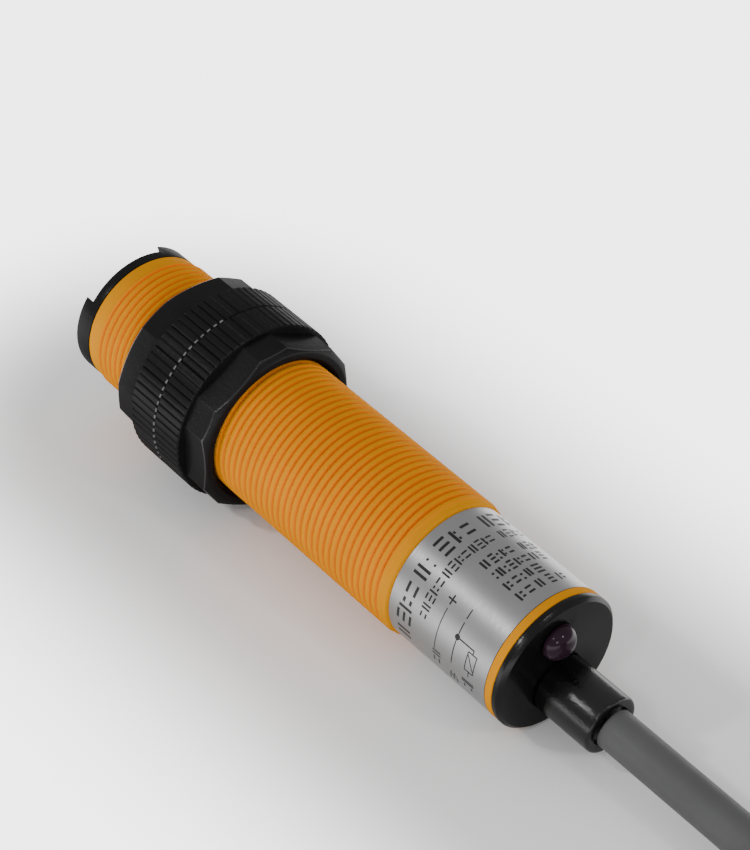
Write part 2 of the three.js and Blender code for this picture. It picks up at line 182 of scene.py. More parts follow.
def welded_mesh(name, shape, matrix):
    """The shape as a mesh, with its points welded and its faces turned outwards."""
    mesh = bpy.data.meshes.new(name)
    mesh.from_pydata([matrix @ Vector(p) for p in shape.points], [], shape.faces)
    for polygon, look in zip(mesh.polygons, shape.looks):
        polygon.material_index = look
    work = bmesh.new()
    work.from_mesh(mesh)
    bmesh.ops.remove_doubles(work, verts=work.verts, dist=1e-6)
    bmesh.ops.dissolve_degenerate(work, edges=work.edges, dist=1e-7)
    bmesh.ops.recalc_face_normals(work, faces=work.faces)
    work.to_mesh(mesh)
    work.free()
    return mesh


def finish_mesh(name, shape, matrix, looks, body, sharp=35, replaces=()):
    """Makes a piece in its materials. Edges sharper than the given degrees stay sharp."""
    mesh = welded_mesh(name, shape, matrix)
    for look in looks:
        mesh.materials.append(look)
    mesh.shade_smooth()
    mesh.set_sharp_from_angle(angle=math.radians(sharp))
    piece = bpy.data.objects.new(name, mesh)
    bpy.context.scene.collection.objects.link(piece)
    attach(piece, body)
    if replaces:
        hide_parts(*replaces)
    return piece


def turned(outline, sides=128, offset=0.0, clock=0.0):
    """Turns (x, radius) points about a line along x. A solid starts on the line, a ring doesn't."""
    shape = Shape()
    on_axis = outline[0][1] == 0
    centre = (offset * math.cos(clock + math.pi / 2), offset * math.sin(clock + math.pi / 2))
    rows = []
    for x, radius in outline:
        ring = []
        for k in range(sides):
            angle = 2 * math.pi * k / sides
            ring.append((x, centre[0] + radius * math.cos(angle), centre[1] + radius * math.sin(angle)))
        rows.append(ring)
    shape.rows(rows, closed=not on_axis)
    return shape


def rounded(outline, radius, steps=4):
    """Rounds each corner of an open outline of (x, radius) points, but not its ends."""
    result = [outline[0]]
    for before, corner, after in zip(outline, outline[1:], outline[2:]):
        here = Vector(corner)
        back = Vector(before) - here
        on = Vector(after) - here
        reach = min(radius, back.length * 0.45, on.length * 0.45)
        start = here + back.normalized() * reach
        end = here + on.normalized() * reach
        for i in range(steps + 1):
            t = i / steps
            point = start * (1 - t) ** 2 + here * 2 * t * (1 - t) + end * t * t
            result.append((point.x, point.y))
    result.append(outline[-1])
    return result


def tube(path, radius, sides):
    """A closed tube along points, its section carried along without turning."""
    shape = Shape()
    points = [Vector(p) for p in path]
    tangents = []
    for i in range(len(points)):
        ahead = points[min(i + 1, len(points) - 1)]
        behind = points[max(i - 1, 0)]
        tangents.append((ahead - behind).normalized())
    side = tangents[0].cross(Vector((0, 0, 1))).normalized()
    rows = []
    for i, point in enumerate(points):
        side = (side - tangents[i] * side.dot(tangents[i])).normalized()
        other = tangents[i].cross(side)
        ring = []
        for k in range(sides):
            angle = 2 * math.pi * k / sides
            ring.append(tuple(point + radius * (math.cos(angle) * side + math.sin(angle) * other)))
        rows.append(ring)
    shape.rows(rows)
    shape.cap(rows[0])
    shape.cap(rows[-1])
    return shape


def through(points, step):
    """Points about a step apart on a smooth curve through given points."""
    points = [Vector(p) for p in points]
    padded = [points[0] * 2 - points[1]] + points + [points[-1] * 2 - points[-2]]
    result = []
    for a, b, c, d in zip(padded, padded[1:], padded[2:], padded[3:]):
        count = max(1, round((c - b).length / step))
        for i in range(count):
            t = i / count
            bend = 2 * a - 5 * b + 4 * c - d
            change = 3 * b - a - 3 * c + d
            result.append(0.5 * (2 * b + (c - a) * t + bend * t**2 + change * t**3))
    result.append(points[-1])
    return result


# Materials


def shader(name):
    material = bpy.data.materials.new(name)
    material.use_nodes = True
    nodes = material.node_tree.nodes
    return material, nodes, material.node_tree.links, nodes["Principled BSDF"]


def noise(nodes, links, coords, scale, detail=4.0):
    node = nodes.new("ShaderNodeTexNoise")
    node.inputs["Scale"].default_value = scale
    node.inputs["Detail"].default_value = detail
    node.inputs["Roughness"].default_value = 0.6
    links.new(coords, node.inputs["Vector"])
    return node.outputs["Fac"]


def spread(nodes, links, value, low, high):
    """Maps a noise's usual range, 0.3 to 0.7, to the range from low to high."""
    node = nodes.new("ShaderNodeMapRange")
    node.inputs["From Min"].default_value = 0.3
    node.inputs["From Max"].default_value = 0.7
    node.inputs["To Min"].default_value = low
    node.inputs["To Max"].default_value = high
    links.new(value, node.inputs["Value"])
    return node.outputs["Result"]


def maths(nodes, links, operation, *values):
    """One arithmetic step on values that are sockets or numbers."""
    node = nodes.new("ShaderNodeMath")
    node.operation = operation
    for port, value in zip(node.inputs, values):
        if isinstance(value, (int, float)):
            port.default_value = value
        else:
            links.new(value, port)
    return node.outputs["Value"]


def moulded(
    name, color, rough, variation=0.08, grain=6000,
    bump=0.25, bump_size=0.00003, grain_detail=3.0, **extra,
):
    """A surface with a slow colour drift, uneven gloss and a fine grain, bump_size metres deep."""
    material, nodes, links, principled = shader(name)
    coords = nodes.new("ShaderNodeTexCoord").outputs["Object"]
    drift = noise(nodes, links, coords, 140)
    blend = nodes.new("ShaderNodeMix")
    blend.data_type = "RGBA"
    blend.inputs["A"].default_value = (*[c * (1 - variation) for c in color], 1)
    blend.inputs["B"].default_value = (*[min(1, c * (1 + variation)) for c in color], 1)
    links.new(spread(nodes, links, drift, 0, 1), blend.inputs["Factor"])
    links.new(blend.outputs["Result"], principled.inputs["Base Color"])
    haze = noise(nodes, links, coords, 700)
    gloss = spread(nodes, links, haze, rough * 0.88, min(1, rough * 1.12))
    links.new(gloss, principled.inputs["Roughness"])
    fine = noise(nodes, links, coords, grain, grain_detail)
    relief = nodes.new("ShaderNodeBump")
    relief.inputs["Strength"].default_value = bump
    relief.inputs["Distance"].default_value = bump_size
    links.new(fine, relief.inputs["Height"])
    links.new(relief.outputs["Normal"], principled.inputs["Normal"])
    links.new(relief.outputs["Normal"], principled.inputs["Coat Normal"])
    for socket, value in extra.items():
        principled.inputs[socket.replace("_", " ")].default_value = value
    return material


def coat(weight, rough):
    """Gloss as a thin coat alone, so that it stays low where a surface turns away."""
    return {"Specular_IOR_Level": 0, "Coat_Weight": weight, "Coat_Roughness": rough}


# The numbers after a colour: roughness, colour variation, grain scale, grain strength and depth.
yellow_plastic = moulded(
    "yellow_plastic", (0.5, 0.192, 0.0), 0.5, 0.05, 3500, 0.4, 0.00003, **coat(0.06, 0.4),
)
# The flank and groove yellows are darker, redder copies of the barrel's yellow: painted shade in the
# thread's hollows.
yellow_flank_painted_shade = moulded(
    "yellow_flank_painted_shade", (0.62, 0.185, 0.0), 0.5, 0.05, 3500, 0.4, 0.00003, **coat(0.06, 0.4),
)
yellow_groove_painted_shade = moulded(
    "yellow_groove_painted_shade", (0.78, 0.15, 0.0), 0.5, 0.05, 3500, 0.3, 0.00003, Specular_IOR_Level=0,
)
black_plastic = moulded(
    "black_plastic", (0.0075, 0.0075, 0.0077), 0.5, 0.25, 1800, 0.8, 0.00004, **coat(0.14, 0.28),
)
polished_edge = moulded(
    "polished_edge", (0.009, 0.009, 0.0092), 0.3, 0.3, 1800, 0.8, 0.00004, **coat(0.7, 0.12),
)
# A paler grey for the front nut's tooth ends at the seam: painted glints.
painted_glint = moulded("painted_glint", (0.1, 0.1, 0.1), 0.3, 0.6, 1800, 0.8, 0.00004, Specular_IOR_Level=0.3)
cap_plastic = moulded(
    "cap_plastic", (0.003, 0.003, 0.003), 0.5, 0.15, 4000, 0.4, **coat(0.36, 0.2),
)
boot_rubber = moulded(
    "boot_rubber", (0.003, 0.003, 0.003), 0.5, 0.2, 4800, 1.0, 0.00003, 1.5, **coat(0.65, 0.15),
)
grey_pvc = moulded(
    "grey_pvc", (0.075, 0.075, 0.076), 0.5, 0.06, 3000, 0.4, 0.00004, Specular_IOR_Level=0.15,
)
print_ink = moulded("print_ink", (0.008, 0.008, 0.009), 0.5, 0.1, Specular_IOR_Level=0.2)
purple_lens = moulded(
    "purple_lens", (0.015, 0.006, 0.012), 0.12, 0.1, 3000, 0.02, 0.00001, Specular_IOR_Level=0.12,
)
dark_red_lens = moulded(
    "dark_red_lens", (0.07, 0.003, 0.005), 0.3, 0.1, 3000, 0.02, **coat(0.3, 0.06),
)
green_laminate = moulded("green_laminate", (0.02, 0.13, 0.045), 0.4, 0.15, 900, 0.3)
chip_black = moulded("chip_black", (0.02, 0.02, 0.021), 0.55, 0.15, 3500, 0.5)
tinned_metal = moulded("tinned_metal", (0.6, 0.6, 0.58), 0.28, 0.08, 2500, 0.2, Metallic=0.95)
ceramic_tan = moulded("ceramic_tan", (0.4, 0.27, 0.13), 0.5, 0.15, 2500, 0.4)
clear_epoxy = moulded(
    "clear_epoxy", (0.75, 0.75, 0.8), 0.08, 0.03, 900, 0.05, Transmission_Weight=0.8,
)
black_resin = moulded("black_resin", (0.02, 0.02, 0.022), 0.25, 0.2, 500, 0.3)
brown_insulation = moulded("brown_insulation", (0.10, 0.035, 0.012), 0.45, 0.08)
blue_insulation = moulded("blue_insulation", (0.02, 0.08, 0.3), 0.45, 0.08)
black_insulation = moulded("black_insulation", (0.012, 0.012, 0.012), 0.45, 0.15)
bare_copper = moulded("bare_copper", (0.75, 0.42, 0.28), 0.3, 0.1, 4000, 0.6, Metallic=1.0)


def make_silver_film():
    """Printed metallised film: satin, with faint rolling marks round the barrel."""
    material = moulded("silver_film", (0.235, 0.235, 0.236), 0.4, 0.04, 4000, 0.2, 0.00002, Metallic=0.9)
    nodes = material.node_tree.nodes
    links = material.node_tree.links
    coords = nodes.new("ShaderNodeTexCoord").outputs["Object"]
    stretch = nodes.new("ShaderNodeMapping")
    stretch.inputs["Scale"].default_value = (9, 0.6, 0.6)
    links.new(coords, stretch.inputs["Vector"])
    marks = noise(nodes, links, stretch.outputs["Vector"], 1500, 3)
    links.new(spread(nodes, links, marks, 0.34, 0.44), nodes["Principled BSDF"].inputs["Roughness"])
    return material


silver_film = make_silver_film()


# Barrel with its thread

# One turn of the thread: the fraction of the pitch, and the fraction of the depth there.
THREAD_PROFILE = [
    (0.00, 0.00),
    (0.22, 0.00),
    (0.40, 0.06),
    (0.50, 0.28),
    (0.60, 0.80),
    (0.68, 1.00),
    (0.76, 0.80),
    (0.87, 0.22),
]
THREAD_SIDES = 128
THREAD_PHASE = 0.35
THREAD_RUN_IN = 0.5
THREAD_RUN_OUT = 0.8


def make_thread(shape):
    """A right-handed helical strip, from two turns before the thread to past its end.

    Points beyond either end of the thread fall on the circle there and are welded together.
    """
    steps = len(THREAD_PROFILE)
    turns = round((THREAD_END - THREAD_START) / THREAD_PITCH) + 3
    grid = []
    for turn in range(turns):
        for fraction, depth in THREAD_PROFILE:
            row = []
            for k in range(THREAD_SIDES):
                along = (turn - 2 + fraction + THREAD_PHASE + k / THREAD_SIDES) * THREAD_PITCH
                x = min(THREAD_END, max(THREAD_START, THREAD_START + along))
                run_in = smooth_step((x - THREAD_START) / THREAD_RUN_IN)
                run_out = smooth_step((THREAD_END - x) / THREAD_RUN_OUT)
                radius = CREST_RADIUS - THREAD_DEPTH * depth * run_in * run_out
                row.append(polar(x, radius, 2 * math.pi * k / THREAD_SIDES))
            grid.append(row)
    base = len(shape.points)
    for row in grid:
        shape.points.extend(row)

    def index(row, k):
        if k == THREAD_SIDES:
            return base + (row + steps) * THREAD_SIDES
        return base + row * THREAD_SIDES + k

    # Crests, flanks and grooves have a material each: the flanks and grooves get darker, redder copies
    # of the yellow, painted shade in the thread's hollows.
    for row in range(len(grid) - 1):
        depth = (THREAD_PROFILE[row % steps][1] + THREAD_PROFILE[(row + 1) % steps][1]) / 2
        look = 0 if depth < 0.1 else 1 if depth < 0.6 else 2
        for k in range(THREAD_SIDES):
            if k == THREAD_SIDES - 1 and row + 1 + steps >= len(grid):
                continue
            here = (index(row, k), index(row + 1, k))
            there = (index(row + 1, k + 1), index(row, k + 1))
            shape.faces.append(here + there)
            shape.looks.append(look)


def make_barrel():
    shape = Shape()
    make_thread(shape)
    film_seat = LABEL_RADIUS - 0.22
    outline = rounded([
        (THREAD_START, CREST_RADIUS),
        (THREAD_START - 0.15, COLLAR_RADIUS),
        (0, COLLAR_RADIUS),
        (0, BORE_RADIUS),
        (BARREL_LENGTH, BORE_RADIUS),
        (BARREL_LENGTH, CAP_RADIUS),
        (LABEL_END + 0.05, CAP_RADIUS),
        (LABEL_END + 0.05, film_seat),
        (LABEL_START - 0.05, film_seat),
        (LABEL_START - 0.35, CREST_RADIUS - 0.15),
        (THREAD_END + 0.3, CREST_RADIUS - 0.15),
        (THREAD_END, CREST_RADIUS),
    ], 0.16)
    rows = []
    for x, radius in outline:
        rows.append([polar(x, radius, 2 * math.pi * k / THREAD_SIDES) for k in range(THREAD_SIDES)])
    shape.rows(rows)
    looks = [yellow_plastic, yellow_flank_painted_shade, yellow_groove_painted_shade]
    finish_mesh(
        "barrel_threaded", shape, SENSOR, looks, "sensor",
        sharp=80, replaces=["barrel"],
    )


make_barrel()


# Label and its print

# How far the ink stands out of the film, and how far it reaches into it.
PRINT_HEIGHT = 0.012
PRINT_SINK = 0.01


def make_label():
    outline = [
        (LABEL_START, LABEL_RADIUS - LABEL_THICKNESS),
        (LABEL_START, LABEL_RADIUS),
        (LABEL_END, LABEL_RADIUS),
        (LABEL_END, LABEL_RADIUS - LABEL_THICKNESS),
    ]
    finish_mesh(
        "label_film", turned(outline, 192), SENSOR, [silver_film], "sensor",
        replaces=["label"],
    )


def stroke(shape, start, end, width):
    """One printed line on the label from (x, degrees) to (x, degrees), as a thin slab."""
    a = Vector((start[0], math.radians(start[1]) * LABEL_RADIUS))
    b = Vector((end[0], math.radians(end[1]) * LABEL_RADIUS))
    along = (b - a).normalized()
    across = Vector((-along.y, along.x)) * width / 2
    steps = max(1, math.ceil(abs(b.y - a.y) / 0.4))
    section = ((-1, -PRINT_SINK), (1, -PRINT_SINK), (1, PRINT_HEIGHT), (-1, PRINT_HEIGHT))
    rows = []
    for i in range(steps + 1):
        middle = a.lerp(b, i / steps)
        corners = []
        for edge, height in section:
            spot = middle + across * edge
            corners.append(polar(spot.x, LABEL_RADIUS + height, spot.y / LABEL_RADIUS))
        rows.append(corners)
    shape.rows(rows)
    shape.cap(rows[0])
    shape.cap(rows[-1])


def disc(shape, x, angle, radius):
    """A printed dot, as a thin slab."""
    sides = 24
    rings = []
    for height in (-PRINT_SINK, PRINT_HEIGHT):
        ring = []
        for k in range(sides):
            turn = 2 * math.pi * k / sides
            around = math.radians(angle) + radius * math.cos(turn) / LABEL_RADIUS
            ring.append(polar(x + radius * math.sin(turn), LABEL_RADIUS + height, around))
        rings.append(ring)
    shape.rows(rings)
    shape.cap(rings[0])
    shape.cap(rings[1])


# Dummy marks that stand for lettering: strokes in a unit cell, (across, along) to (across, along).
MARKS = [
    [((0.2, 0), (0.2, 1)), ((0.8, 0), (0.8, 1))],
    [((0, 0.02), (1, 0.02)), ((0, 0.5), (1, 0.5)), ((0, 0.98), (1, 0.98))],
    [((0.1, 0), (0.1, 1)), ((0.55, 0.25), (1, 0.25)), ((0.55, 0.75), (1, 0.75))],
    [((0, 0.2), (1, 0.2)), ((0, 0.8), (1, 0.8))],
]

# Each line of marks: x of its two edges, stroke width, and the (start, end) angle of each mark.
PRINT_LINES = [
    (56.8, 58.8, 0.36, [
        (198, 188), (182, 173), (170, 161), (157, 148), (142, 133), (118, 108), (103, 99),
        (94, 86), (76, 68), (65, 57), (52, 46),
    ]),
    (59.75, 60.95, 0.22, [
        (165, 161), (158.5, 153.5), (151, 146), (144, 139), (137, 132), (129, 124), (122, 117.5),
        (115.5, 111), (109.5, 104.5), (102.5, 98), (96, 91.5), (89.5, 88), (86.5, 81.5),
        (74, 69.5), (67, 62.5), (60, 55.5), (53, 48.5),
    ]),
    (62.2, 63.4, 0.27, [
        (106.5, 101), (98, 93.5), (87.5, 84.5), (82, 77.5), (69, 64.5), (62, 57.5), (55, 50.5),
    ]),
    (64.1, 65.3, 0.27, [
        (106.5, 104.5), (102.5, 98), (92, 87.5), (85, 80.5), (78, 73.5), (71, 64), (61, 55.5),
    ]),
    (66.0, 67.2, 0.27, [(107, 102), (99, 94.5), (87.5, 83), (79.5, 72)]),
    (67.9, 69.1, 0.27, [(107, 101.5), (98.5, 93), (89, 83.5), (78, 72.5), (67.5, 61)]),
    (62.5, 63.8, 0.2, [(195, 190), (188, 182.5)]),
    (65.2, 66.3, 0.2, [(201, 196.5), (195, 191)]),
    (67.2, 69.0, 0.2, [(196, 192.5), (190.5, 187)]),
]
PRINT_DOTS = [
    (57.4, 128), (58.6, 128), (62.6, 91), (63.3, 91),
    (64.5, 95), (65.2, 95), (66.4, 91.2), (67.1, 91.2),
]
PRINT_DOT_RADIUS = 0.16

# The wiring diagram: (x, degrees) to (x, degrees) and the stroke width.
DIAGRAM = [
    ((62.8, 182), (62.8, 145.5), 0.11),
    ((62.8, 142.5), (62.8, 134.5), 0.2),
    ((62.2, 138.5), (63.4, 138.5), 0.2),
    ((65.5, 182), (65.5, 145.5), 0.13),
    ((65.5, 142.5), (65.5, 134.5), 0.14),
    ((65.5, 158), (68.15, 158), 0.17),
    ((68.15, 158), (68.15, 161.3), 0.13),
    ((67.5, 161.3), (68.8, 161.3), 0.14),
    ((67.5, 177), (68.8, 177), 0.14),
    ((67.5, 161.3), (67.5, 177), 0.12),
    ((68.8, 161.3), (68.8, 177), 0.12),
    ((67.6, 163.5), (68.7, 174.5), 0.12),
    ((68.15, 177), (68.15, 182), 0.12),
]
JUNCTION = (65.5, 158)
JUNCTION_RADIUS = 0.36


def make_print():
    shape = Shape()
    kind = 0
    for low, high, width, marks in PRINT_LINES:
        for start, end in marks:
            for a, b in MARKS[kind % len(MARKS)]:
                spots = [(low + (high - low) * v, start + (end - start) * u) for u, v in (a, b)]
                stroke(shape, *spots, width)
            kind += 1
    for x, angle in PRINT_DOTS:
        disc(shape, x, angle, PRINT_DOT_RADIUS)
    for start, end, width in DIAGRAM:
        stroke(shape, start, end, width)
    disc(shape, *JUNCTION, JUNCTION_RADIUS)
    finish_mesh("label_print", shape, SENSOR, [print_ink], "sensor")


make_label()
make_print()


# Nuts: drawn from the hexagon's end at 0 to the flange's face.

# The crests' ends between these degrees are painted a paler grey: painted glints where the front nut's
# tooth ends catch the light.
GLINT_ARC = (95, 205)
GLINT_LOOK = 1
POLISHED_LOOK = 2


def hex_radius(angle):
    """Radius of the hexagon at an angle. Each of its corners is cut off flat."""
    sector = math.pi / 3
    flat = (angle % sector) - sector / 2
    half_flat = sector / 2 - HEX_CORNER_HALF_ANGLE
    if abs(flat) <= half_flat:
        return HEX_CORNER_RADIUS * math.cos(half_flat) / math.cos(flat)
    corner = abs(flat) - sector / 2
    return HEX_CORNER_RADIUS * math.cos(HEX_CORNER_HALF_ANGLE) / math.cos(corner)


# One knurl tooth: the fraction of the tooth's pitch, and the fraction of its depth there.
KNURL_PROFILE = [
    (0.0, 1.0),
    (0.07, 0.7),
    (0.16, 0.1),
    (0.35, 0.0),
    (0.65, 0.0),
    (0.84, 0.1),
    (0.93, 0.7),
]

# The teeth are uneven: a wave from tooth to tooth sets how deep each is and how far it is shifted.
KNURL_WAVE = 2.3
KNURL_MEAN = 0.8
KNURL_SWING = 0.3
KNURL_SHIFT = 0.05


def nut_columns():
    """Angles round the nut with the knurl's radius at each: every knurl point and hexagon corner."""
    knurl = []
    for tooth in range(KNURL_TEETH):
        uneven = KNURL_MEAN + KNURL_SWING * math.sin(KNURL_WAVE * tooth)
        for fraction, depth in KNURL_PROFILE:
            angle = 2 * math.pi * (tooth + fraction + KNURL_SHIFT * uneven) / KNURL_TEETH
            knurl.append((angle, FLANGE_RADIUS - KNURL_DEPTH * depth * uneven))
    corners = []
    for k in range(6):
        for side in (-1, 1):
            corners.append((k * math.pi / 3 + side * HEX_CORNER_HALF_ANGLE) % (2 * math.pi))
    columns = dict(knurl)
    for corner in corners:
        after = next(i for i, (angle, _) in enumerate(knurl + [(2 * math.pi, 0)]) if angle > corner)
        before_angle, before_radius = knurl[after - 1]
        after_angle, after_radius = knurl[after % len(knurl)]
        share = (corner - before_angle) / ((after_angle - before_angle) % (2 * math.pi))
        columns[corner] = before_radius + (after_radius - before_radius) * share
    return sorted(columns.items())


def make_nut(name, matrix, body, clock, glint_arc=()):
    shape = Shape()
    length = NUT_LENGTH - NUT_FACE_GAP
    hex_length = NUT_LENGTH - FLANGE_LENGTH
    bore = CREST_RADIUS + NUT_CLEARANCE
    low = FLANGE_RADIUS - KNURL_DEPTH - 0.1
    widest_chamfer = 0.14
    columns = nut_columns()
    outlines = []
    for angle, knurl in columns:
        hexagon = hex_radius(angle)
        chamfer_end = (hexagon - HEX_END_RADIUS) * HEX_END_SLOPE
        chamfer = min(widest_chamfer, knurl - low)
        points = [
            (0.4, bore),
            (0.08, bore + 0.36),
            (0.0, bore + 0.48),
            (0.0, HEX_END_RADIUS - 0.06),
            (0.02, HEX_END_RADIUS + 0.03),
            (chamfer_end - 0.05, hexagon - 0.07),
            (chamfer_end + 0.02, hexagon - 0.02),
            (chamfer_end + 0.12, hexagon),
            (hex_length - 0.02, hexagon),
            (hex_length, min(hexagon - 0.02, low)),
            (hex_length, knurl - chamfer),
            (hex_length + chamfer, knurl),
            (length - chamfer, knurl),
            (length, knurl - chamfer),
            (length, low),
            (length, bore + 0.3),
            (length - 0.3, bore),
        ]
        outlines.append([polar(x, radius, angle + clock) for x, radius in points])
    shape.rows(list(zip(*outlines)), closed=True)

    # The bands of faces between two points of the outline, counted from its start.
    hexagon_end_bands = (5, 6)
    crest_end_band = 12
    for band in hexagon_end_bands:
        for k in range(len(columns)):
            shape.looks[band * len(columns) + k] = POLISHED_LOOK
    # Crest ends within the arc get the paler grey: painted glints.
    for k, (angle, knurl) in enumerate(columns):
        around = math.degrees(angle + clock) % 360
        on_crest = knurl > FLANGE_RADIUS - 0.02 * KNURL_DEPTH
        if glint_arc and glint_arc[0] < around < glint_arc[1] and on_crest:
            shape.looks[crest_end_band * len(columns) + k] = GLINT_LOOK
    looks = [black_plastic, painted_glint, polished_edge]
    finish_mesh(name, shape, matrix, looks, body, sharp=28, replaces=[body])


front_place = SENSOR @ Matrix.Translation((NUT_MEETING - NUT_LENGTH, 0, 0))
rear_place = SENSOR @ Matrix.Translation((NUT_MEETING + NUT_LENGTH, 0, 0))
rear_place = rear_place @ Matrix.Rotation(math.pi, 4, "Z")
make_nut("front_nut_knurled", front_place, "front_nut", FRONT_NUT_CLOCK, GLINT_ARC)
make_nut("rear_nut_knurled", rear_place, "rear_nut", -REAR_NUT_CLOCK)


# Bezel and lenses

RIM_FRONT = -1.3
LIP_FRONT = -2.5
CHANNEL_HALF_WIDTH = 5.35
LENS_RADIUS = 6.7
LENS_HALF_WIDTH = 4.5
LENS_MIDDLE = 3.4
LENS_BACK = 2.6
DIVIDER_HALF_WIDTH = 0.8


def lens_outline(clearance):
    """D-shaped outline of one lens or window, its flat towards the divider bar, in the YZ plane."""
    radius = LENS_RADIUS + clearance
    half_width = LENS_HALF_WIDTH + clearance
    flat = DIVIDER_HALF_WIDTH - clearance
    start = math.acos(half_width / radius)
    points = [(-half_width, flat), (half_width, flat)]
    steps = 24
    for i in range(steps + 1):
        angle = start + (math.pi - 2 * start) * i / steps
        points.append((radius * math.cos(angle), radius * math.sin(angle)))
    return points


def prism(outline, start, end):
    shape = Shape()
    rows = [[(x, y, z) for y, z in outline] for x in (start, end)]
    shape.rows(rows)
    shape.cap(rows[0])
    shape.cap(rows[1])
    return shape


def plain_object(name, shape, matrix):
    made = bpy.data.objects.new(name, welded_mesh(name, shape, matrix))
    bpy.context.scene.collection.objects.link(made)
    return made


def carve(piece, cutters, edge):
    """Cuts the cutters out of the piece, rounds the edges, applies both and drops the cutters."""
    for cutter in cutters:
        cutting = piece.modifiers.new("cut", "BOOLEAN")
        cutting.operation = "DIFFERENCE"
        cutting.solver = "EXACT"
        cutting.object = cutter
    rounding = piece.modifiers.new("round", "BEVEL")
    rounding.width = edge * MM
    rounding.segments = 3
    rounding.limit_method = "ANGLE"
    rounding.angle_limit = math.radians(35)
    rounding.use_clamp_overlap = True
    bpy.context.view_layer.update()
    graph = bpy.context.evaluated_depsgraph_get()
    done = bpy.data.meshes.new_from_object(piece.evaluated_get(graph))
    piece.modifiers.clear()
    piece.data = done
    piece.data.shade_smooth()
    piece.data.set_sharp_from_angle(angle=math.radians(40))
    for cutter in cutters:
        bpy.data.objects.remove(cutter)


def make_bezel():
    outline = [
        (1.0, 0),
        (1.0, SPIGOT_RADIUS - 0.4),
        (4.0, SPIGOT_RADIUS - 0.4),
        (4.0, SPIGOT_RADIUS),
        (-0.1, SPIGOT_RADIUS),
        (-0.1, COLLAR_RADIUS),
        (LIP_FRONT, COLLAR_RADIUS),
        (LIP_FRONT, 0),
    ]
    turn = SENSOR @ Matrix.Rotation(FACE_CLOCK, 4, "X")
    piece = finish_mesh(
        "bezel_moulding", turned(outline, 96), turn, [black_plastic], "sensor",
        replaces=["front_bezel"],
    )
    side = CHANNEL_HALF_WIDTH
    end = COLLAR_RADIUS + 1.3
    channel = prism([(-side, -end), (side, -end), (side, end), (-side, end)], LIP_FRONT - 1, RIM_FRONT)
    upper = lens_outline(0.15)
    lower = [(-y, -z) for y, z in upper]
    cutters = [plain_object("channel", channel, turn)]
    for window in (upper, lower):
        cutters.append(plain_object("window", prism(window, RIM_FRONT - 1, 4.5), turn))
    carve(piece, cutters, 0.14)


def make_lens(name, turn_over):
    """A window lens with a shallow crown."""
    outline = lens_outline(0)
    centre = Vector((0, LENS_MIDDLE))
    front = RIM_FRONT + 0.35
    shape = Shape()
    rows = [[(LENS_BACK, y, z) for y, z in outline]]
    for share, rise in ((1.0, 0.35), (0.97, 0.2), (0.75, 0.1), (0.5, 0.04), (0.25, 0.01)):
        ring = []
        for y, z in outline:
            spot = centre.lerp(Vector((y, z)), share)
            ring.append((front + rise, spot.x, spot.y))
        rows.append(ring)
    shape.rows(rows)
    shape.cap(rows[0])
    shape.cap(rows[-1])
    matrix = SENSOR @ Matrix.Rotation(FACE_CLOCK + turn_over, 4, "X")
    finish_mesh(
        f"{name}_crowned", shape, matrix, [dark_red_lens], "sensor",
        sharp=30, replaces=[name],
    )


make_bezel()
make_lens("emitter_lens", 0)
make_lens("receiver_lens", math.pi)


# Rear cap, indicator and strain relief

# The dome and the boot stand just off the cap, and narrower parts of both go through its holes.
CAP_FOOT = CAP_REAR + 0.1
DOME_STEM_RADIUS = DOME_RADIUS - 0.4
BOOT_NECK_RADIUS = 2.85


def make_cap():
    start = 69.0
    outline = [
        (start, 0),
        (start, SPIGOT_RADIUS),
        (BARREL_LENGTH + 0.1, SPIGOT_RADIUS),
        (BARREL_LENGTH + 0.1, CAP_RADIUS),
        (CAP_REAR - CAP_BEVEL, CAP_RADIUS),
        (CAP_REAR, CAP_RADIUS - CAP_BEVEL),
        (CAP_REAR, 0),
    ]
    piece = finish_mesh(
        "rear_cap_moulding", turned(outline, 128), SENSOR, [cap_plastic], "sensor",
        replaces=["rear_cap"],
    )
    holes = [
        ("dome_hole", DOME_OFFSET, DOME_RADIUS - 0.3),
        ("boot_hole", BOOT_OFFSET, 3.0),
    ]
    cutters = []
    for name, offset, radius in holes:
        hole = [(start - 1, 0), (start - 1, radius), (CAP_REAR + 1, radius), (CAP_REAR + 1, 0)]
        cutters.append(plain_object(name, turned(hole, 48, offset, REAR_CLOCK), SENSOR))
    carve(piece, cutters, 0.1)


def make_indicator():
    start = 69.4
    outline = [
        (start, 0),
        (start, DOME_STEM_RADIUS),
        (CAP_FOOT, DOME_STEM_RADIUS),
        (CAP_FOOT, DOME_RADIUS - 0.05),
        (CAP_FOOT + 0.06, DOME_RADIUS),
    ]
    wall = 0.15
    steps = 16
    for i in range(steps):
        angle = math.radians(90 * i / steps)
        height = CAP_FOOT + wall + (DOME_HEIGHT - wall) * math.sin(angle)
        outline.append((height, DOME_RADIUS * math.cos(angle)))
    outline.append((CAP_FOOT + DOME_HEIGHT, 0))
    shape = turned(outline, 64, DOME_OFFSET, REAR_CLOCK)
    finish_mesh(
        "indicator_dome", shape, SENSOR, [purple_lens], "sensor",
        sharp=40, replaces=["indicator_lens"],
    )


